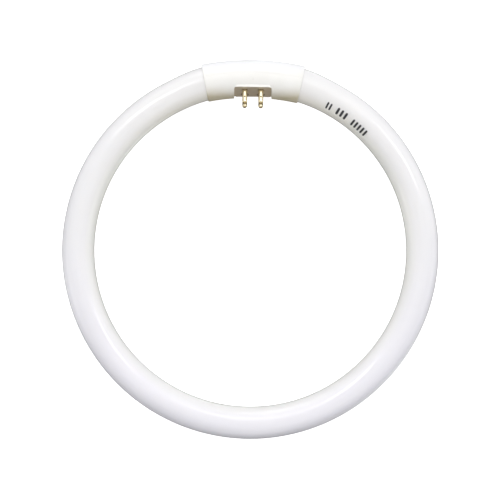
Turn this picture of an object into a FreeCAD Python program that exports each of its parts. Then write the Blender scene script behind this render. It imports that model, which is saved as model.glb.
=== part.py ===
import FreeCAD, Part
import math
import os

# Circular fluorescent tube: a coated glass ring, a two-part moulded base that
# bridges the two glass ends, four hollow contact pins and the four lead wires
# that run inside the base.
#
# Frame (mm): origin at the ring's centre on the tube's mid-plane, ring axis +Z,
# the base's middle at +Y. The pins point into the ring and tilt up towards +Z.

V = FreeCAD.Vector

# ---- driving dimensions -------------------------------------------------

# glass
RING_R = 85.0            # radius of the tube's centre line
TUBE_R = 8.0             # outside radius of the glass
END_GROW = 0.38          # the unbent ends are this much larger, on the outer side
GROW_START_DEG = 28.0    # they grow from here, measured from the base's middle,
GROW_FULL_DEG = 16.5     # to here
GLASS_END_DEG = 8.3      # each glass end stops this far from the base's middle
GLASS_END_ROUND = 2.2    # rounded rim where the wall turns into the flare
FLARE_MOUTH_R = 5.2      # re-entrant flare at each end
FLARE_FLOOR_R = 3.7
FLARE_DEPTH = 6.0
TIP_R = 1.5              # sealed exhaust tip, standing out of the flare
TIP_OUT = 3.6

# base: its outside is a round section on a flatter arc than the ring
BASE_R = 9.4             # outside radius of the base's round section
BASE_MID_Y = 84.85       # its centre line at the base's middle
BASE_ARC_R = 117.0       # radius of its centre line
BASE_HALF_X = 23.8       # each end, measured on that centre line
BASE_END_ROUND = 0.4     # rounded rim at each end of the base
BORE_R = 8.25            # hollow in the base's middle, on the ring's centre line
END_BORE_GAP = 0.22      # hollow around the glass ends, wider than the glass
END_BORE_DEG = 7.0       # it starts this far from the base's middle
MOUTH_GAP = 0.03         # close-fitting band at each mouth of the base
MOUTH_START_DEG = 14.7   # the band starts this far from the base's middle
SEAM_GAP = 0.01          # half of the parting gap between the two shells
SEAM_GROOVE = 0.11       # half width of the parting groove

# pin pad, in the base's own directions: x along the ring, t across the pad
# (upper side positive), n out of the pad along the pins
PIN_TILT_DEG = 16.5      # pins rise this much above the ring's plane
PAD_N = 7.05             # pad face, from the base's centre line
PAD_WALL = 1.5           # thickness of the wall behind the pad
PAD_HALF_X = 9.2
PAD_TOP_T = 7.45         # the pad's upper edge stands out of the round section
PAD_CORNER = 1.8         # its two upper corners
PAD_FOOT_R = 1.0         # its two lower corners, cut back
PAD_FOOT_DEPTH = 0.65     # by this much
PAD_EDGE_ROUND = 0.15    # rounded edge of the part that stands out
LEDGE_T = 2.2            # how far that part reaches down over the pad
PAD_BACK_HALF_X = 10.5   # thickened block behind the pad
GATE_R = 0.5             # moulding gate mark on top of the inner shell
GATE_DEPTH = 0.09
GATE_Y = 84.0

# pins
PIN_R = 1.2
PIN_SPACE_X = 7.92       # between the two pins of a row
PIN_SPACE_T = 6.35       # between the two rows
PIN_TIP_N = 14.16        # rounded tip, from the base's centre line
PIN_SHANK_R = 1.4
PIN_HOLE_R = 1.42
PIN_COLLAR_R = 1.95
PIN_COLLAR_H = 0.6
PIN_TAIL_R = 1.0
PIN_TAIL_H = 0.5
PIN_SHOULDER_H = 0.45    # taper from the shank to the pin, sunk in the hole
PIN_BORE_R = 0.5
PIN_CRIMP_BORE_R = 0.31
PIN_CRIMP_N = 10.9       # crimp dents, from the base's centre line
PIN_DENT_R = 0.42
PIN_DENT_DEPTH = 0.22

# lead wires
WIRE_R = 0.3
WIRE_OFFSET_T = 2.7      # where the wires leave the flare
WIRE_END_N = 11.3
WIRE_RUN = 5.0           # straight run out of the flare
WIRE_FIRST_BEND_R = 6.0
WIRE_BEND_R = 2.0

# ---- directions at the base's middle --------------------------------------

TILT = math.radians(PIN_TILT_DEG)
O = V(0, 0, 0)
X = V(1, 0, 0)
Z = V(0, 0, 1)
N = V(0, -math.cos(TILT), math.sin(TILT))
T = V(0, math.sin(TILT), math.cos(TILT))
A = V(0, BASE_MID_Y, 0)
BASE_CENTRE = V(0, BASE_MID_Y - BASE_ARC_R, 0)
END_R = TUBE_R + END_GROW
END_RING_R = RING_R + END_GROW
BASE_HALF_DEG = math.degrees(math.asin(BASE_HALF_X / BASE_ARC_R))
PAD_FRAME = FreeCAD.Placement(A, FreeCAD.Rotation(X, 90.0 - PIN_TILT_DEG))


def at(x, t, n):
    return A + X * x + T * t + N * n


def in_pad_frame(shape):
    """Moves a shape drawn as (x, t, n) to its place on the base."""
    shape = shape.copy()
    shape.Placement = PAD_FRAME.multiply(shape.Placement)
    return shape


def local_box(x0, x1, t0, t1, n0, n1):
    return in_pad_frame(Part.makeBox(x1 - x0, t1 - t0, n1 - n0, V(x0, t0, n0)))


def local_cylinder(r, x, t, n0, n1):
    return in_pad_frame(Part.makeCylinder(r, n1 - n0, V(x, t, n0)))


def turn(face, half_deg, centre=BASE_CENTRE):
    """Sweeps a section at the base's middle along the base's own arc."""
    face = face.copy()
    face.rotate(centre, Z, -half_deg)
    return face.revolve(centre, Z, 2.0 * half_deg)


def disc(r, centre):
    return Part.Face(Part.Wire(Part.makeCircle(r, centre, X)))


def end_rod(r, side, start_deg, stop_deg):
    """A round rod on the centre line of one glass end, between two angles from +Y."""
    face = disc(r, V(0, END_RING_R, 0))
    face.rotate(O, Z, -side * start_deg)
    return face.revolve(O, Z, -side * (stop_deg - start_deg))


def polygon(points):
    return Part.Face(Part.makePolygon(points + [points[0]]))


def solid_of(shape, name):
    shape = shape.removeSplitter()
    solids = shape.Solids
    if len(solids) != 1:
        raise RuntimeError("%s has %d solids" % (name, len(solids)))
    solid = solids[0]
    if not solid.isValid():
        raise RuntimeError("%s is not valid" % name)
    return solid


def edges_where(shape, test):
    return [e for e in shape.Edges if test(e)]


# ---- glass tube -------------------------------------------------------------

def tube_section(side, deg):
    """The tube's outline where it grows towards its end."""
    k = (GROW_START_DEG - deg) / (GROW_START_DEG - GROW_FULL_DEG)
    grow = END_GROW * k * k * (3.0 - 2.0 * k)
    a = math.radians(deg)
    centre = V(side * math.sin(a), math.cos(a), 0) * (RING_R + grow)
    along = V(side * math.cos(a), -math.sin(a), 0)
    return Part.Wire(Part.makeCircle(TUBE_R + grow, centre, along))


def make_glass():
    section = disc(TUBE_R, V(0, RING_R, 0))
    section.rotate(O, Z, GROW_START_DEG)
    tube = section.revolve(O, Z, 360.0 - 2.0 * GROW_START_DEG)
    steps = 6
    for side in (1, -1):
        sections = [tube_section(side, GROW_START_DEG
                                 + (GROW_FULL_DEG - GROW_START_DEG) * i / steps)
                    for i in range(steps + 1)]
        tube = tube.fuse(Part.makeLoft(sections, True, False))
        end = end_rod(END_R, side, GLASS_END_DEG, GROW_FULL_DEG)
        rims = edges_where(
            end,
            lambda e: isinstance(e.Curve, Part.Circle)
            and abs(e.Curve.Radius - END_R) < 1e-6
            and abs(e.Curve.Axis.z) < 1e-6
            and abs(e.Curve.Center.x) < END_RING_R * math.sin(math.radians(GLASS_END_DEG + 1.0)),
        )
        tube = tube.fuse(end.makeFillet(GLASS_END_ROUND, rims))
    b = math.radians(GLASS_END_DEG)
    for side in (1, -1):
        end = V(side * END_RING_R * math.sin(b), END_RING_R * math.cos(b), 0)
        out = V(-side * math.cos(b), math.sin(b), 0)
        flare = Part.makeCone(FLARE_FLOOR_R, FLARE_MOUTH_R, FLARE_DEPTH,
                              end - out * FLARE_DEPTH, out)
        tube = tube.cut(flare)
        start = end - out * (FLARE_DEPTH + 1.0)
        length = FLARE_DEPTH + 1.0 + TIP_OUT - TIP_R
        tip = Part.makeCylinder(TIP_R, length, start, out)
        tip = tip.fuse(Part.makeSphere(TIP_R, start + out * length))
        tube = tube.fuse(tip)
    return solid_of(tube, "glass_tube")


# ---- base ---------------------------------------------------------------------

def rounded_pad(height, n0, depth):
    """The pad's outline, rounded at its two upper corners, as a prism along n."""
    prism = Part.makeBox(2 * PAD_HALF_X, height, depth,
                         V(-PAD_HALF_X, PAD_TOP_T - height, n0))
    corners = edges_where(
        prism,
        lambda e: abs(e.Vertexes[0].X - e.Vertexes[1].X) < 1e-6
        and abs(e.Vertexes[0].Y - e.Vertexes[1].Y) < 1e-6
        and abs(e.Vertexes[0].Y - PAD_TOP_T) < 1e-6,
    )
    return prism.makeFillet(PAD_CORNER, corners)


def make_base():
    full = turn(disc(BASE_R, A), BASE_HALF_DEG)
    rims = edges_where(
        full,
        lambda e: isinstance(e.Curve, Part.Circle)
        and abs(e.Curve.Radius - BASE_R) < 1e-6
        and abs(e.Curve.Axis.z) < 1e-6,
    )
    full = full.makeFillet(BASE_END_ROUND, rims)

    hollows = [turn(disc(BORE_R, V(0, RING_R, 0)), END_BORE_DEG + 1.0, O)]
    for side in (1, -1):
        hollows.append(end_rod(END_R + END_BORE_GAP, side, END_BORE_DEG, MOUTH_START_DEG))
        hollows.append(end_rod(END_R + MOUTH_GAP, side, MOUTH_START_DEG - 0.5, 20.0))

    grooves = []
    for s in (1, -1):
        g = SEAM_GROOVE
        c = s * BASE_R
        grooves.append(turn(polygon([at(0, c - g, 0), at(0, c, -g),
                                     at(0, c + g, 0), at(0, c, g)]),
                            BASE_HALF_DEG + 1.0))

    halves = []
    for s in (1, -1):
        field = turn(polygon([at(0, -15, s * SEAM_GAP), at(0, 15, s * SEAM_GAP),
                              at(0, 15, s * 15), at(0, -15, s * 15)]),
                     BASE_HALF_DEG + 1.0)
        half = full.common(field)
        for cutter in hollows + grooves:
            half = half.cut(cutter)
        halves.append(half)
    inner, outer = halves

    # thick block behind the pad, the pocket cut down to the pad's face, and the
    # pad's upper edge, which stands out of the round section
    back = PAD_N - PAD_WALL
    block = full.common(local_box(-PAD_BACK_HALF_X, PAD_BACK_HALF_X, -12, 12,
                                  back, 14))
    inner = inner.fuse(block)
    pocket = rounded_pad(14 + PAD_TOP_T, PAD_N, 8)
    inner = inner.cut(in_pad_frame(pocket))
    ledge = rounded_pad(LEDGE_T, back, PAD_WALL)
    face_edges = edges_where(
        ledge,
        lambda e: all(abs(v.Z - PAD_N) < 1e-6 for v in e.Vertexes)
        and not all(abs(v.Y - (PAD_TOP_T - LEDGE_T)) < 1e-6 for v in e.Vertexes),
    )
    ledge = ledge.makeFillet(PAD_EDGE_ROUND, face_edges)
    inner = inner.fuse(in_pad_frame(ledge))

    foot_t = PAD_FOOT_R - math.sqrt(BASE_R ** 2 - PAD_N ** 2)
    for s in (1, -1):
        foot_x = s * (PAD_HALF_X - PAD_FOOT_R)
        corner = Part.makeBox(PAD_FOOT_R, 12.0, 6.0,
                              V(min(foot_x, foot_x + s * PAD_FOOT_R), foot_t - 12.0,
                                PAD_N - PAD_FOOT_DEPTH))
        round_off = Part.makeCylinder(PAD_FOOT_R, 8.0, V(foot_x, foot_t, PAD_N - 2.0))
        inner = inner.cut(in_pad_frame(corner.cut(round_off)))

    for x in (-PIN_SPACE_X / 2, PIN_SPACE_X / 2):
        for t in (-PIN_SPACE_T / 2, PIN_SPACE_T / 2):
            inner = inner.cut(local_cylinder(PIN_HOLE_R, x, t, PAD_N - 3, PAD_N + 2))

    top = math.sqrt(BASE_R ** 2 - (GATE_Y - BASE_MID_Y) ** 2)
    inner = inner.cut(Part.makeCylinder(GATE_R, 1.0, V(0, GATE_Y, top - GATE_DEPTH)))

    return solid_of(inner, "base_inner_shell"), solid_of(outer, "base_outer_shell")


# ---- pins -----------------------------------------------------------------------

def make_pin(x, t):
    back = PAD_N - PAD_WALL
    tail = back - PIN_COLLAR_H - PIN_TAIL_H
    dome = PIN_TIP_N - PIN_R

    def p(r, n):
        return V(r, 0, n)

    k = math.sqrt(0.5)
    outline = [
        Part.LineSegment(p(0, tail), p(PIN_TAIL_R, tail)),
        Part.LineSegment(p(PIN_TAIL_R, tail), p(PIN_TAIL_R, tail + PIN_TAIL_H)),
        Part.LineSegment(p(PIN_TAIL_R, tail + PIN_TAIL_H),
                         p(PIN_COLLAR_R, tail + PIN_TAIL_H)),
        Part.LineSegment(p(PIN_COLLAR_R, tail + PIN_TAIL_H), p(PIN_COLLAR_R, back)),
        Part.LineSegment(p(PIN_COLLAR_R, back), p(PIN_SHANK_R, back)),
        Part.LineSegment(p(PIN_SHANK_R, back),
                         p(PIN_SHANK_R, PAD_N - PIN_SHOULDER_H)),
        Part.LineSegment(p(PIN_SHANK_R, PAD_N - PIN_SHOULDER_H), p(PIN_R, PAD_N)),
        Part.LineSegment(p(PIN_R, PAD_N), p(PIN_R, dome)),
        Part.Arc(p(PIN_R, dome), p(PIN_R * k, dome + PIN_R * k), p(0, PIN_TIP_N)),
        Part.LineSegment(p(0, PIN_TIP_N), p(0, tail)),
    ]
    face = Part.Face(Part.Wire([e.toShape() for e in outline]))
    pin = face.revolve(O, Z, 360.0)

    bore = [p(0, tail - 1), p(PIN_BORE_R, tail - 1), p(PIN_BORE_R, PIN_CRIMP_N - 0.8),
            p(PIN_CRIMP_BORE_R, PIN_CRIMP_N - 0.4),
            p(PIN_CRIMP_BORE_R, PIN_CRIMP_N + 0.6), p(0, PIN_CRIMP_N + 0.6)]
    pin = pin.cut(polygon(bore).revolve(O, Z, 360.0))

    for s in (1, -1):
        dent = Part.makeSphere(PIN_DENT_R,
                               V(0, s * (PIN_R + PIN_DENT_R - PIN_DENT_DEPTH),
                                 PIN_CRIMP_N))
        pin = pin.cut(dent)
    pin.translate(V(x, t, 0))
    return solid_of(in_pad_frame(pin), "pin")


# ---- lead wires ------------------------------------------------------------------

def make_wire(side, row):
    b = math.radians(GLASS_END_DEG)
    end = V(side * END_RING_R * math.sin(b), END_RING_R * math.cos(b), 0)
    out = V(-side * math.cos(b), math.sin(b), 0)
    radial = V(side * math.sin(b), math.cos(b), 0)
    across = radial * math.sin(TILT) + Z * math.cos(TILT)
    start = end - out * FLARE_DEPTH + across * (row * WIRE_OFFSET_T)
    points = [
        start,
        start + out * WIRE_RUN,
        at(side * PIN_SPACE_X / 2, row * PIN_SPACE_T / 2, 0.0),
        at(side * PIN_SPACE_X / 2, row * PIN_SPACE_T / 2, WIRE_END_N),
    ]
    radii = [WIRE_FIRST_BEND_R, WIRE_BEND_R]

    edges = []
    here = start
    for i, r in ((1, radii[0]), (2, radii[1])):
        u = (points[i] - points[i - 1]).normalize()
        w = (points[i + 1] - points[i]).normalize()
        half = 0.5 * math.acos(max(-1.0, min(1.0, u.dot(w))))
        p0 = points[i] - u * (r * math.tan(half))
        p1 = points[i] + w * (r * math.tan(half))
        inward = (w - u).normalize()
        mid = points[i] + inward * (r / math.cos(half) - r)
        edges.append(Part.LineSegment(here, p0).toShape())
        edges.append(Part.Arc(p0, mid, p1).toShape())
        here = p1
    edges.append(Part.LineSegment(here, points[3]).toShape())
    path = Part.Wire(edges)
    section = Part.Wire(Part.makeCircle(WIRE_R, start, out))
    wire = path.makePipeShell([section], True, False)
    expected = path.Length * math.pi * WIRE_R ** 2
    solid = solid_of(wire, "lead wire")
    if abs(solid.Volume - expected) > 0.02 * expected:
        raise RuntimeError("lead wire volume %.4f, expected %.4f"
                           % (solid.Volume, expected))
    return solid


# ---- all pieces --------------------------------------------------------------------

def build():
    pieces = {"glass_tube": make_glass()}
    pieces["base_inner_shell"], pieces["base_outer_shell"] = make_base()
    for row_name, row in (("upper", 1), ("lower", -1)):
        for side_name, side in (("left", -1), ("right", 1)):
            key = "%s_%s" % (row_name, side_name)
            pieces["pin_" + key] = make_pin(side * PIN_SPACE_X / 2,
                                            row * PIN_SPACE_T / 2)
            pieces["lead_wire_" + key] = make_wire(side, row)
    return pieces


os.makedirs("parts", exist_ok=True)
for name, shape in build().items():
    shape.exportStep("parts/%s.step" % name)
    box = shape.BoundBox
    print("%-24s volume %10.2f  x %7.2f %7.2f  y %7.2f %7.2f  z %7.2f %7.2f" % (
        name, shape.Volume, box.XMin, box.XMax, box.YMin, box.YMax, box.ZMin, box.ZMax))
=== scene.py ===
import math

import bpy
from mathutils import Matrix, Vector

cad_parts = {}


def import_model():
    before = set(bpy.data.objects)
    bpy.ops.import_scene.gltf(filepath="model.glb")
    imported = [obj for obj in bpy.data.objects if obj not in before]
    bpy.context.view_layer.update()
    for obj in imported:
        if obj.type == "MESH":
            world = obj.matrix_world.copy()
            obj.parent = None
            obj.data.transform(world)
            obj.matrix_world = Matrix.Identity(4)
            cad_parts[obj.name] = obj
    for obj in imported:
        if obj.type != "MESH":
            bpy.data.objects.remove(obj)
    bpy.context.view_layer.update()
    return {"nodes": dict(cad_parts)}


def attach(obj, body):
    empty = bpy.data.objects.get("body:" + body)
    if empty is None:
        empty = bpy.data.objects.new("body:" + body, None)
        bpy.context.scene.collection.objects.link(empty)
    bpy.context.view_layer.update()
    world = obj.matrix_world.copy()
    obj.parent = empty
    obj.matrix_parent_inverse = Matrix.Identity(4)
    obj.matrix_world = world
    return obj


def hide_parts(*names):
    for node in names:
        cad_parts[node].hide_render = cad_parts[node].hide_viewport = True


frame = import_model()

# Circular fluorescent tube lying flat: a coated glass ring, a moulded base across
# the gap and four brass contact pins. Metres, ring centre at the origin, base at +Y.

MM = 0.001
nodes = frame["nodes"]
scene = bpy.context.scene

# ---- sizes (mm) ---------------------------------------------------------------

RING_R = 85.0
TUBE_R = 8.0
END_GROW = 0.38
GROW_START_DEG = 28.0
GROW_FULL_DEG = 16.5
GLASS_END_DEG = 8.3
GLASS_END_ROUND = 2.2
FLARE_MOUTH_R = 5.2
FLARE_FLOOR_R = 3.7
FLARE_DEPTH = 6.0
TIP_R = 1.5
TIP_OUT = 3.6
BASE_R = 9.4
BASE_MID_Y = 84.85
PIN_TILT = math.radians(16.5)
PIN_SPACE_X = 7.92
PIN_SPACE_T = 6.35
PIN_CRIMP_N = 10.9
PIN_TIP_N = 14.16
PAD_N = 7.05
GATE_Y = 84.0


# ---- small helpers --------------------------------------------------------------

def add_object(name, verts, faces):
    mesh = bpy.data.meshes.new(name)
    mesh.from_pydata([tuple(c * MM for c in v) for v in verts], [], faces)
    mesh.validate()
    obj = bpy.data.objects.new(name, mesh)
    scene.collection.objects.link(obj)
    for p in mesh.polygons:
        p.use_smooth = True
    return obj


class Nodes:
    """Short forms for building a material's nodes."""

    def __init__(self, name):
        self.material = bpy.data.materials.new(name)
        self.material.use_nodes = True
        self.tree = self.material.node_tree
        self.bsdf = next(n for n in self.tree.nodes if n.type == "BSDF_PRINCIPLED")
        self.coords = self.tree.nodes.new("ShaderNodeTexCoord").outputs["Object"]
        self.normal = self.tree.nodes.new("ShaderNodeNewGeometry").outputs["Normal"]

    def link(self, a, b):
        self.tree.links.new(a, b)

    def put(self, socket, value):
        if isinstance(value, bpy.types.NodeSocket):
            self.link(value, socket)
        else:
            socket.default_value = value

    def noise(self, scale, detail=2.0, roughness=0.5, vector=None, distortion=0.0):
        n = self.tree.nodes.new("ShaderNodeTexNoise")
        n.inputs["Scale"].default_value = scale
        n.inputs["Detail"].default_value = detail
        n.inputs["Roughness"].default_value = roughness
        n.inputs["Distortion"].default_value = distortion
        self.link(vector if vector is not None else self.coords, n.inputs["Vector"])
        return n.outputs["Fac"]

    def math(self, op, a, b=0.0, c=0.0, clamp=False):
        n = self.tree.nodes.new("ShaderNodeMath")
        n.operation = op
        n.use_clamp = clamp
        for s, v in zip(n.inputs, (a, b, c)):
            self.put(s, v)
        return n.outputs[0]

    def vmath(self, op, a, b=(0.0, 0.0, 0.0)):
        n = self.tree.nodes.new("ShaderNodeVectorMath")
        n.operation = op
        self.put(n.inputs[0], a)
        self.put(n.inputs[1], b)
        return n.outputs["Value"] if op in ("DOT_PRODUCT", "LENGTH") else n.outputs["Vector"]

    def split(self, vector):
        n = self.tree.nodes.new("ShaderNodeSeparateXYZ")
        self.link(vector, n.inputs[0])
        return n.outputs

    def join(self, *values):
        n = self.tree.nodes.new("ShaderNodeCombineXYZ")
        for s, v in zip(n.inputs, values):
            self.put(s, v)
        return n.outputs[0]

    def span(self, value, a, b, to_a=0.0, to_b=1.0, smooth=False):
        n = self.tree.nodes.new("ShaderNodeMapRange")
        n.interpolation_type = "SMOOTHSTEP" if smooth else "LINEAR"
        n.clamp = True
        self.put(n.inputs["Value"], value)
        for key, v in zip(("From Min", "From Max", "To Min", "To Max"), (a, b, to_a, to_b)):
            n.inputs[key].default_value = v
        return n.outputs["Result"]

    def ramp(self, value, *stops):
        n = self.tree.nodes.new("ShaderNodeValToRGB")
        e = n.color_ramp.elements
        while len(e) < len(stops):
            e.new(0.5)
        for el, (pos, colour) in zip(e, stops):
            el.position = pos
            el.color = (*colour, 1.0)
        self.put(n.inputs["Fac"], value)
        return n.outputs["Color"]

    def mix(self, factor, a, b, blend="MIX"):
        n = self.tree.nodes.new("ShaderNodeMix")
        n.data_type = "RGBA"
        n.blend_type = blend
        self.put(n.inputs["Factor"], factor)
        ins = [s for s in n.inputs if s.type == "RGBA"]
        for s, v in zip(ins, (a, b)):
            self.put(s, (*v, 1.0) if isinstance(v, tuple) and len(v) == 3 else v)
        return next(s for s in n.outputs if s.type == "RGBA")

    def bump(self, height, distance, strength=1.0, normal=None):
        n = self.tree.nodes.new("ShaderNodeBump")
        n.inputs["Strength"].default_value = strength
        n.inputs["Distance"].default_value = distance
        self.link(height, n.inputs["Height"])
        if normal is not None:
            self.link(normal, n.inputs["Normal"])
        return n.outputs["Normal"]

    def set(self, **values):
        for key, v in values.items():
            self.put(self.bsdf.inputs[key.replace("_", " ")], v)


def use(material, *objects):
    for obj in objects:
        mats = obj.data.materials
        if len(mats):
            for i in range(len(mats)):
                mats[i] = material
        else:
            mats.append(material)


# ---- camera ------------------------------------------------------------------------

lens = bpy.data.cameras.new("camera")
lens.lens = 145.7
lens.sensor_width = 36.0
camera = bpy.data.objects.new("camera", lens)
camera.location = (-0.000153, 0.000319, 1.0)
camera.rotation_euler = (0.0, 0.0, math.radians(0.93))
scene.collection.objects.link(camera)
scene.camera = camera


# ---- glass ring ---------------------------------------------------------------------

def end_growth(deg):
    """How much larger the tube is near its unbent ends, deg from the base's middle."""
    k = (GROW_START_DEG - deg) / (GROW_START_DEG - GROW_FULL_DEG)
    k = min(1.0, max(0.0, k))
    return END_GROW * k * k * (3.0 - 2.0 * k)


def glass_ring():
    """The whole blown ring as one closed skin: round tube, rolled rims, flared
    re-entrant ends and the sealed exhaust tips standing in them."""
    around, along = 96, 540
    b0 = math.radians(GLASS_END_DEG)
    rings = []

    def round_section(beta, r):
        out = Vector((-math.sin(beta), math.cos(beta), 0.0))
        grow = end_growth(math.degrees(math.acos(out.y)))
        centre = out * (RING_R + grow)
        r += grow
        return [centre + out * (r * math.cos(a)) + Vector((0, 0, r * math.sin(a)))
                for a in (2 * math.pi * j / around for j in range(around))]

    def end_rings(side):
        beta = -side * b0
        radial = Vector((-math.sin(beta), math.cos(beta), 0.0))
        end = radial * (RING_R + END_GROW)
        outward = Vector((-side * math.cos(b0), math.sin(b0), 0.0))
        got = []

        def flat(r, along_axis):
            c = end + outward * along_axis
            return [c + radial * (r * math.cos(a)) + Vector((0, 0, r * math.sin(a)))
                    for a in (2 * math.pi * j / around for j in range(around))]

        for i in range(1, 9):
            psi = 0.5 * math.pi * i / 8
            d = GLASS_END_ROUND * (1 - math.sin(psi))
            r = TUBE_R - GLASS_END_ROUND * (1 - math.cos(psi))
            got.append(round_section(-side * (b0 + d / RING_R), r))
        for i in range(5):
            k = i / 4
            got.append(flat(FLARE_MOUTH_R + (FLARE_FLOOR_R - FLARE_MOUTH_R) * k, -FLARE_DEPTH * k))
        got.append(flat(0.5 * (FLARE_FLOOR_R + TIP_R), -FLARE_DEPTH))
        neck = TIP_OUT - TIP_R
        for i in range(6):
            got.append(flat(TIP_R, -FLARE_DEPTH + (FLARE_DEPTH + neck) * i / 5))
        for i in range(1, 7):
            psi = 0.5 * math.pi * i / 7
            got.append(flat(TIP_R * math.cos(psi), neck + TIP_R * math.sin(psi)))
        return got, end + outward * TIP_OUT

    left, left_tip = end_rings(-1)
    right, right_tip = end_rings(1)
    start = b0 + GLASS_END_ROUND / RING_R
    main = [round_section(start + (2 * math.pi - 2 * start) * i / along, TUBE_R)
            for i in range(along + 1)]
    rings = left[::-1] + main + right
    verts = [v for ring in rings for v in ring] + [left_tip, right_tip]
    faces = []
    for i in range(len(rings) - 1):
        for j in range(around):
            k = (j + 1) % around
            faces.append((i * around + j, i * around + k, (i + 1) * around + k, (i + 1) * around + j))
    first, last = len(verts) - 2, len(verts) - 1
    top = (len(rings) - 1) * around
    for j in range(around):
        k = (j + 1) % around
        faces.append((k, j, first))
        faces.append((top + j, top + k, last))
    obj = add_object("glass_ring", verts, faces)
    obj.data.set_sharp_from_angle(angle=math.radians(35))
    return obj


ring = glass_ring()
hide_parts("glass_tube")
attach(ring, "root")


# ---- printed marks: plain bars in three groups ------------------------------------------

def marks():
    verts, faces = [], []
    steps_v, steps_u = 10, 6
    groups = ((26.35, 28.85, 2, 47.0, 19.0), (30.35, 35.15, 3, 47.0, 17.8), (36.95, 44.05, 5, 48.6, 21.0))
    for a0, a1, count, lean_in, lean_top in groups:
        pitch = (a1 - a0) / count
        lean_in, lean_top = math.radians(lean_in), math.radians(lean_top)
        for c in range(count):
            mid = a0 + pitch * (c + 0.5)
            half = 0.265 * pitch
            base = len(verts)
            for lift in (0.012, -0.02):
                for i in range(steps_v + 1):
                    v = i / steps_v
                    lean = lean_top + (lean_in - lean_top) * v
                    # rounded bar ends
                    end = min(v, 1 - v) * (lean_in - lean_top) * TUBE_R
                    cut = 0.35
                    k = 1.0 if end >= cut else 0.45 + 0.55 * math.sqrt(max(0.0, 1 - ((cut - end) / cut) ** 2))
                    for j in range(steps_u + 1):
                        a = math.radians(mid + half * k * (2 * j / steps_u - 1))
                        grow = end_growth(math.degrees(a))
                        r = TUBE_R + grow + lift
                        rho = RING_R + grow - r * math.sin(lean)
                        verts.append((rho * math.sin(a), rho * math.cos(a), r * math.cos(lean)))
            n = (steps_v + 1) * (steps_u + 1)

            def at(layer, i, j):
                return base + layer * n + i * (steps_u + 1) + j

            for i in range(steps_v):
                for j in range(steps_u):
                    faces.append((at(0, i, j), at(0, i + 1, j), at(0, i + 1, j + 1), at(0, i, j + 1)))
                    faces.append((at(1, i, j), at(1, i, j + 1), at(1, i + 1, j + 1), at(1, i + 1, j)))
            for i in range(steps_v):
                faces.append((at(0, i, 0), at(1, i, 0), at(1, i + 1, 0), at(0, i + 1, 0)))
                faces.append((at(0, i + 1, steps_u), at(1, i + 1, steps_u), at(1, i, steps_u), at(0, i, steps_u)))
            for j in range(steps_u):
                faces.append((at(0, 0, j + 1), at(1, 0, j + 1), at(1, 0, j), at(0, 0, j)))
                faces.append((at(0, steps_v, j), at(1, steps_v, j), at(1, steps_v, j + 1), at(0, steps_v, j + 1)))
    obj = add_object("printed_bars", verts, faces)
    obj.data.set_sharp_from_angle(angle=math.radians(35))
    return obj


bars = marks()
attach(bars, "root")


# ---- finishes --------------------------------------------------------------------------

def coated_glass():
    m = Nodes("coated_glass_finish")
    # directions on the tube: along the ring and around its section
    x, y, z = m.split(m.coords)
    rho = m.math("SQRT", m.math("ADD", m.math("MULTIPLY", x, x), m.math("MULTIPLY", y, y)))
    around = m.math("ARCTAN2", z, m.math("SUBTRACT", rho, RING_R * MM))
    along = m.math("ARCTAN2", x, y)
    cloud = m.noise(42.0, 3.0, 0.55)
    grain = m.noise(2400.0, 2.0, 0.6)
    runs = m.noise(9.0, 3.0, 0.6, m.join(around, m.math("MULTIPLY", along, 0.22), 0.0))
    tone = m.math("ADD", m.math("MULTIPLY", cloud, 0.45),
                  m.math("ADD", m.math("MULTIPLY", grain, 0.25), m.math("MULTIPLY", runs, 0.30)))
    colour = m.ramp(tone, (0.30, (0.785, 0.780, 0.822)), (0.70, (0.820, 0.815, 0.854)))
    # the coating is cooler far from the base and a little warmer at the two ends
    towards_base = m.math("DIVIDE", y, rho)
    far = m.span(towards_base, 0.45, -0.75, 0.0, 1.0, True)
    colour = m.mix(far, colour, (1.0, 0.992, 1.0), "MULTIPLY")
    near = m.span(towards_base, -0.75, 0.45, 0.0, 1.0, True)
    colour = m.mix(near, colour, (1.0, 0.998, 0.962), "MULTIPLY")
    near_end = m.span(towards_base, 0.55, 0.95, 0.0, 1.0, True)
    colour = m.mix(near_end, colour, (1.02, 1.015, 1.0), "MULTIPLY")
    # painted light: the inner side near the two ends is made lighter and warmer, where the tube meets the base
    inner_end_painted_light = m.math("MULTIPLY", near_end, m.span(rho, 0.0830, 0.0775, 0.0, 1.0, True))
    colour = m.mix(inner_end_painted_light, colour, (1.07, 1.045, 1.02), "MULTIPLY")
    # painted light: a warm tint on the inner side of the bend and a cool, slightly darker tint on the outer side
    bend_painted_light = m.span(rho, (RING_R - TUBE_R) * MM, (RING_R + TUBE_R) * MM)
    colour = m.mix(1.0, colour, m.ramp(bend_painted_light, (0.0, (0.988, 1.0, 0.928)), (0.30, (0.995, 0.995, 0.988)),
                                       (1.0, (0.980, 0.985, 1.0))), "MULTIPLY")
    m.set(Base_Color=colour, Roughness=m.span(grain, 0.3, 0.7, 0.55, 0.7))
    m.bsdf.inputs["Specular IOR Level"].default_value = 0.1
    # light that enters the tube spreads inside it and comes out all around
    m.link(m.math("MULTIPLY", m.span(towards_base, 0.80, 0.925, 1.0, 0.0, True),
                  m.span(rho, 0.0850, 0.0920, 0.66, 0.22, True)), m.bsdf.inputs["Subsurface Weight"])
    m.bsdf.inputs["Subsurface Radius"].default_value = (1.0, 0.97, 0.92)
    m.bsdf.inputs["Subsurface Scale"].default_value = 0.014
    m.bsdf.inputs["Coat Weight"].default_value = 1.0
    m.bsdf.inputs["Coat Roughness"].default_value = 0.06
    m.bsdf.inputs["Coat IOR"].default_value = 1.5
    wave = m.noise(70.0, 1.5, 0.4)
    m.link(m.bump(wave, 0.00012), m.bsdf.inputs["Coat Normal"])
    return m.material


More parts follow.
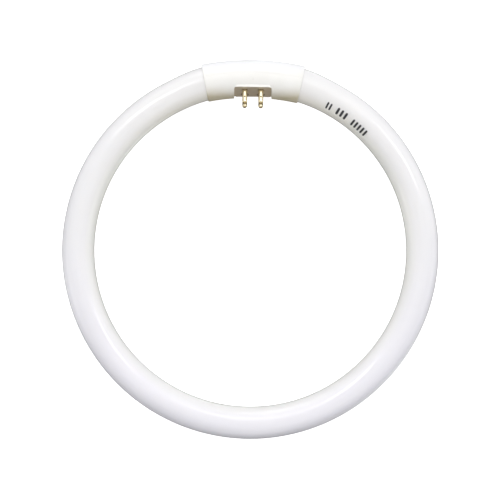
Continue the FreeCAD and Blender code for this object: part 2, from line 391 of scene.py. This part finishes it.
def base_plastic():
    m = Nodes("base_plastic_finish")
    x, y, z = m.split(m.coords)
    cloud = m.noise(90.0, 2.0, 0.5)
    grain = m.noise(3200.0, 2.0, 0.55)
    colour = m.ramp(cloud, (0.30, (0.86, 0.85, 0.82)), (0.70, (0.885, 0.878, 0.855)))
    # painted light: a cool white tint on the outer side of the ring, the side that faces the light
    outer = m.span(y, 0.0860, 0.0915, 0.0, 1.0, True)
    colour = m.mix(outer, colour, (0.985, 1.0, 1.06), "MULTIPLY")
    # the gate mark holds a little dirt
    off = m.vmath("LENGTH", m.join(x, m.math("SUBTRACT", y, GATE_Y * MM), 0.0))
    gate = m.math("MULTIPLY", m.span(off, 0.00040, 0.00056, 1.0, 0.0, True), m.span(z, 0.0080, 0.0085))
    colour = m.mix(gate, colour, (0.95, 0.945, 0.94), "MULTIPLY")
    # painted shade, warm and dark, on the side of the pins, most of all on the pad
    inner = m.math("POWER", m.span(y, 0.0825, 0.0754), 2.2)
    facing = m.vmath("DOT_PRODUCT", m.normal, (0.0, -math.cos(PIN_TILT), math.sin(PIN_TILT)))
    from_base = m.vmath("SUBTRACT", m.coords, (0.0, BASE_MID_Y * MM, 0.0))
    height = m.vmath("DOT_PRODUCT", from_base, (0.0, -math.cos(PIN_TILT), math.sin(PIN_TILT)))
    up = m.vmath("DOT_PRODUCT", from_base, (0.0, math.sin(PIN_TILT), math.cos(PIN_TILT)))
    on_pad = m.math("MULTIPLY", m.span(facing, 0.985, 0.998, 0.0, 1.0, True),
                    m.math("MULTIPLY", m.span(m.math("ABSOLUTE", x), 0.0091, 0.0094, 1.0, 0.0),
                           m.span(height, (PAD_N - 0.12) * MM, (PAD_N - 0.04) * MM)))
    patch = m.span(m.noise(260.0, 2.0, 0.5), 0.3, 0.7, 0.86, 1.0)
    round_side_painted_shade = m.math("MULTIPLY", inner, m.math("SUBTRACT", 1.0, on_pad))
    colour = m.mix(m.math("MULTIPLY", round_side_painted_shade, patch), colour, (0.67, 0.605, 0.44), "MULTIPLY")
    colour = m.mix(m.math("MULTIPLY", on_pad, patch), colour, (0.615, 0.515, 0.38), "MULTIPLY")
    # painted shade: a little darker between the pins, and a dark ring in the corner around each one
    between_pins_painted_shade = m.math("MULTIPLY", on_pad, m.span(m.math("ABSOLUTE", x), 0.0024, 0.0034, 1.0, 0.0, True))
    colour = m.mix(between_pins_painted_shade, colour, (0.88, 0.87, 0.87), "MULTIPLY")
    from_pin = m.vmath("LENGTH", m.join(
        m.math("SUBTRACT", m.math("ABSOLUTE", x), 0.5 * PIN_SPACE_X * MM),
        m.math("SUBTRACT", m.math("ABSOLUTE", up), 0.5 * PIN_SPACE_T * MM), 0.0))
    from_pin = m.math("SUBTRACT", from_pin, m.span(up, 0.0, -1.0 * MM, 0.0, 0.35 * MM))
    # painted shade in the corner around each pin root
    pin_corner_painted_shade = m.math("MULTIPLY", on_pad, m.span(from_pin, 0.00140, 0.00185, 1.0, 0.0, True))
    colour = m.mix(pin_corner_painted_shade, colour, (0.42, 0.37, 0.30), "MULTIPLY")
    m.set(Base_Color=colour, Roughness=m.span(grain, 0.3, 0.7, 0.34, 0.46))
    m.bsdf.inputs["Specular IOR Level"].default_value = 0.45
    m.link(m.bump(grain, 0.000012), m.bsdf.inputs["Normal"])
    return m.material


def pin_brass():
    m = Nodes("pin_brass_finish")
    # drawn lines along the pins, and painted shade and dark reflections at the roots, crimps and tips
    axis = (0.0, -math.cos(PIN_TILT), math.sin(PIN_TILT))
    from_base = m.vmath("SUBTRACT", m.coords, (0.0, BASE_MID_Y * MM, 0.0))
    height = m.vmath("DOT_PRODUCT", from_base, axis)
    stretch = m.tree.nodes.new("ShaderNodeMapping")
    stretch.inputs["Rotation"].default_value = (math.pi / 2 - PIN_TILT, 0.0, 0.0)
    stretch.inputs["Scale"].default_value = (1.0, 1.0, 1.0)
    m.link(m.coords, stretch.inputs["Vector"])
    squeeze = m.vmath("MULTIPLY", stretch.outputs["Vector"], (1.0, 1.0, 0.06))
    lines = m.noise(5200.0, 2.0, 0.6, squeeze)
    spots = m.noise(1100.0, 2.0, 0.55)
    x = m.split(m.coords)[0]
    across = m.math("SUBTRACT", m.math("ABSOLUTE", x), 0.5 * PIN_SPACE_X * MM)
    up = m.vmath("DOT_PRODUCT", from_base, (0.0, math.sin(PIN_TILT), math.cos(PIN_TILT)))
    uneven = m.span(spots, 0.3, 0.7, 0.7, 1.0)
    # painted shade at the roots and in the crimp dents
    root = m.span(height, (PAD_N + 0.12) * MM, (PAD_N + 0.62) * MM, 0.85, 0.0, True)
    crimp_painted_shade = m.span(m.vmath("LENGTH", m.join(across, m.math("SUBTRACT", height, PIN_CRIMP_N * MM), 0.0)),
                  0.30 * MM, 0.62 * MM, 0.80, 0.0, True)
    # painted shade: a dark ring on the lower pins just behind their round ends, where they reflect the upper pins'
    # undersides
    behind_tip_painted_shade = m.math("MULTIPLY", m.span(up, -1.0 * MM, -1.4 * MM),
                  m.span(m.math("ABSOLUTE", m.math("SUBTRACT", height, 12.28 * MM)), 0.22 * MM, 0.46 * MM, 0.85, 0.0, True))
    # painted dark reflection on the round ends, darker on the lower pins than on the upper ones
    tip = m.span(height, (PIN_TIP_N - 0.85) * MM, (PIN_TIP_N - 0.2) * MM, 0.0, 1.0, True)
    dark = m.math("MULTIPLY", m.math("MAXIMUM", m.math("MAXIMUM", root, crimp_painted_shade), behind_tip_painted_shade), uneven)
    tip_painted_reflection = m.math("MULTIPLY", tip, uneven)
    bright = m.ramp(lines, (0.30, (0.91, 0.81, 0.54)), (0.70, (0.96, 0.88, 0.65)))
    lower_row = m.span(up, 1.0 * MM, -1.0 * MM)
    colour = m.mix(m.math("MULTIPLY", tip_painted_reflection, lower_row), bright, (0.28, 0.175, 0.05))
    colour = m.mix(m.math("MULTIPLY", tip_painted_reflection, m.math("SUBTRACT", 1.0, lower_row)), colour, (0.55, 0.38, 0.14))
    colour = m.mix(dark, colour, (0.17, 0.12, 0.07))
    m.set(Base_Color=colour, Metallic=1.0,
          Roughness=m.math("ADD", m.span(lines, 0.3, 0.7, 0.07, 0.14), m.math("MULTIPLY", dark, 0.15)))
    m.bsdf.inputs["Specular Tint"].default_value = (1.0, 0.82, 0.45, 1.0)
    m.link(m.bump(lines, 0.000006), m.bsdf.inputs["Normal"])
    return m.material


def lead_metal():
    m = Nodes("lead_wire_finish")
    lines = m.noise(4000.0, 2.0, 0.6, m.vmath("MULTIPLY", m.coords, (0.1, 1.0, 1.0)))
    spots = m.noise(900.0, 2.0, 0.5)
    m.set(Base_Color=m.ramp(spots, (0.30, (0.50, 0.48, 0.45)), (0.70, (0.66, 0.65, 0.62))), Metallic=1.0,
          Roughness=m.span(lines, 0.3, 0.7, 0.25, 0.42))
    m.link(m.bump(lines, 0.000005), m.bsdf.inputs["Normal"])
    return m.material


def ink():
    m = Nodes("ink_finish")
    wear = m.noise(1500.0, 3.0, 0.6)
    m.set(Base_Color=m.ramp(wear, (0.32, (0.022, 0.022, 0.025)), (0.68, (0.05, 0.05, 0.054))),
          Roughness=m.span(wear, 0.3, 0.7, 0.40, 0.55))
    m.link(m.bump(wear, 0.000004), m.bsdf.inputs["Normal"])
    return m.material


use(coated_glass(), ring)
use(base_plastic(), nodes["base_inner_shell"], nodes["base_outer_shell"])
use(pin_brass(), *[o for n, o in nodes.items() if n.startswith("pin_")])
use(lead_metal(), *[o for n, o in nodes.items() if n.startswith("lead_wire")])
use(ink(), bars)


# ---- floor and light ----------------------------------------------------------------------

def floor():
    half = 4000.0
    slope = (TUBE_R - BASE_R) / (BASE_MID_Y + RING_R)
    mid = -BASE_R - slope * BASE_MID_Y
    obj = add_object("floor", [(x, y, mid + slope * y - 0.01) for x, y in
                               ((-half, -half), (half, -half), (half, half), (-half, half))], [(0, 1, 2, 3)])
    m = Nodes("floor_finish")
    m.set(Base_Color=(0.9, 0.9, 0.9, 1.0), Roughness=0.9, Emission_Color=(1.0, 1.0, 1.0, 1.0), Emission_Strength=0.8)
    m.bsdf.inputs["Specular IOR Level"].default_value = 0.0
    use(m.material, obj)
    # the light that comes up from the floor is part of the soft lights below
    obj.visible_diffuse = False
    obj.visible_glossy = False
    obj.visible_shadow = False


floor()

# soft lights all around: direction, sharpness, strength
SOFT_LIGHTS = (
    ((-0.96, -0.27, 0.09), 40, 2.68),
    ((-0.22, 0.94, 0.24), 40, 2.60),
    ((0.52, -0.45, -0.73), 40, 1.66),
    ((0.05, -0.96, 0.27), 40, 1.52),
    ((0.95, -0.24, 0.18), 40, 1.50),
    ((0.97, 0.23, -0.05), 20, 1.49),
    ((-0.76, -0.19, -0.62), 40, 1.33),
    ((0.31, 0.80, -0.51), 20, 0.72),
    ((0.13, -0.57, 0.81), 20, 1.27),
    ((-0.87, 0.48, -0.05), 40, 1.10),
    ((-0.49, 0.70, 0.52), 90, 1.10),
    ((0.00, 0.60, 0.80), 1, 0.915),
    ((0.80, 0.34, 0.49), 40, 0.73),
    ((-0.15, 0.62, 0.77), 90, 0.41),
    ((0.43, 0.28, 0.86), 90, 0.19),
    ((0.02, 0.36, 0.93), 90, 0.17),
)
# long ceiling lights: direction, line they run along, half length and half width, strength
LONG_LIGHTS = (
    ((-0.35, 0.45, 0.82), (0.32, -0.04, 0.155), 0.13, 0.045, 8.60),
    ((0.11, 0.55, 0.83), (0.38, 0.0, -0.05), 0.14, 0.045, 6.20),
    ((0.54, 0.37, 0.756), (0.16, -0.17, -0.035), 0.11, 0.045, 8.00),
    ((-0.7, -0.12, 0.7), (0.1, -0.7, 0.0), 0.11, 0.08, 1.00),
    ((-0.15, 0.45, 0.88), (0.3, 0.05, -0.01), 0.09, 0.07, 0.95),
    ((0.57, 0.31, 0.765), (0.02, -0.1, 0.03), 0.07, 0.06, 0.90),
    ((0.81, 0.4, 0.42), (0.02, -0.1, 0.04), 0.07, 0.06, 0.80),
)


def world():
    w = bpy.data.worlds.new("studio")
    w.use_nodes = True
    scene.world = w
    t = w.node_tree
    bg = next(n for n in t.nodes if n.type == "BACKGROUND")
    direction = t.nodes.new("ShaderNodeVectorMath")
    direction.operation = "NORMALIZE"
    t.links.new(t.nodes.new("ShaderNodeTexCoord").outputs["Generated"], direction.inputs[0])

    def dot(axis):
        n = t.nodes.new("ShaderNodeVectorMath")
        n.operation = "DOT_PRODUCT"
        t.links.new(direction.outputs["Vector"], n.inputs[0])
        n.inputs[1].default_value = axis
        return n.outputs["Value"]

    def math_node(op, *values):
        n = t.nodes.new("ShaderNodeMath")
        n.operation = op
        for socket, v in zip(n.inputs, values):
            if isinstance(v, bpy.types.NodeSocket):
                t.links.new(v, socket)
            else:
                socket.default_value = v
        return n.outputs[0]

    total = 0.0
    for towards, sharpness, strength in SOFT_LIGHTS:
        fall = math_node("MULTIPLY_ADD", dot(Vector(towards).normalized()), sharpness, -sharpness)
        total = math_node("MULTIPLY_ADD", math_node("EXPONENT", fall), strength, total)
    for towards, line, length, width, strength in LONG_LIGHTS:
        c = Vector(towards).normalized()
        u = Vector(line)
        u = (u - c * u.dot(c)).normalized()
        along, across = dot(u / length), dot(c.cross(u) / width)
        far = math_node("MULTIPLY_ADD", along, along, math_node("MULTIPLY", across, across))
        glow = math_node("EXPONENT", math_node("MULTIPLY", far, -0.5))
        front = math_node("MULTIPLY", glow, math_node("GREATER_THAN", dot(c), 0.0))
        total = math_node("MULTIPLY_ADD", front, strength, total)
    bg.inputs["Color"].default_value = (1.0, 1.0, 1.0, 1.0)
    t.links.new(total, bg.inputs["Strength"])


world()

scene.view_settings.view_transform = "Standard"
